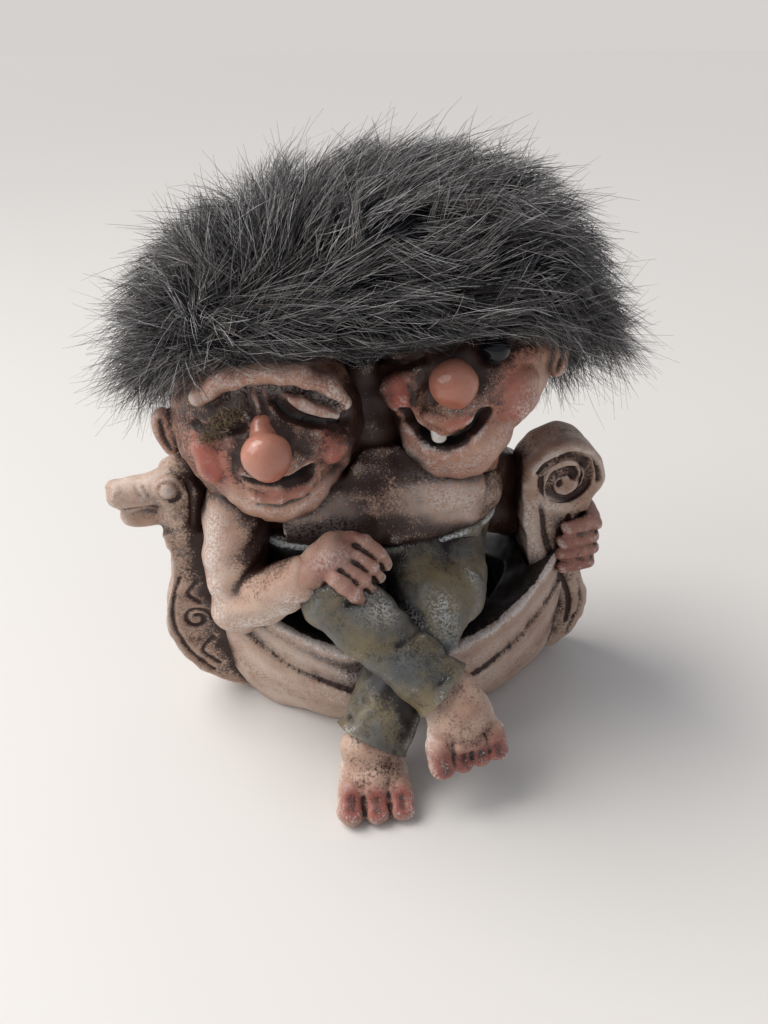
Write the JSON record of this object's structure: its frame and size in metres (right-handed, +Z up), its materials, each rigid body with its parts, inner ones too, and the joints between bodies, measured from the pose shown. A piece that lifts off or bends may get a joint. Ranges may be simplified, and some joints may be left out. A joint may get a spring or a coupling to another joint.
{
  "type": "troll figure in a small ship",
  "caption": "Seated two-headed troll in a small clinker ship with a dragon prow and scroll stern, painted casting with a shared fur wig.",
  "frame": {"origin": "middle of the hull's flat foot, on the table", "axes": "+Z up, +X from the dragon prow to the scroll stern, -Y towards the side that the legs hang over"},
  "size_m": [0.0946, 0.0665, 0.104],
  "materials": {
    "hull_paint": "beige base under a dark brown wash, satin",
    "trouser_paint": "olive grey with dark folds, satin",
    "skin_paint": "peach with a dark brown wash and pale rubbed edges, satin",
    "nose_paint": "glossy salmon pink",
    "eye_glass": "glossy near black",
    "tooth_paint": "glossy white",
    "backing_cloth": "dark woven cloth",
    "fur": "charcoal fur with silvery tips"
  },
  "bodies": {
    "root": {"hull": "hull_paint", "prow_post": "hull_paint", "dragon_head": "hull_paint", "stern_post": "hull_paint", "stern_scroll": "hull_paint", "trouser_seat": "trouser_paint", "crossed_leg": "trouser_paint", "under_leg": "trouser_paint", "torso": "skin_paint", "resting_arm": "skin_paint", "resting_hand": "skin_paint", "gripping_arm": "skin_paint", "gripping_hand": "skin_paint", "crossed_foot": "skin_paint", "under_foot": "skin_paint", "left_head": "skin_paint", "right_head": "skin_paint", "left_nose": "nose_paint", "right_nose": "nose_paint", "glass_eye": "eye_glass", "tooth": "tooth_paint", "wig_backing": "backing_cloth", "fur_pile": "fur"}
  },
  "joints": []
}
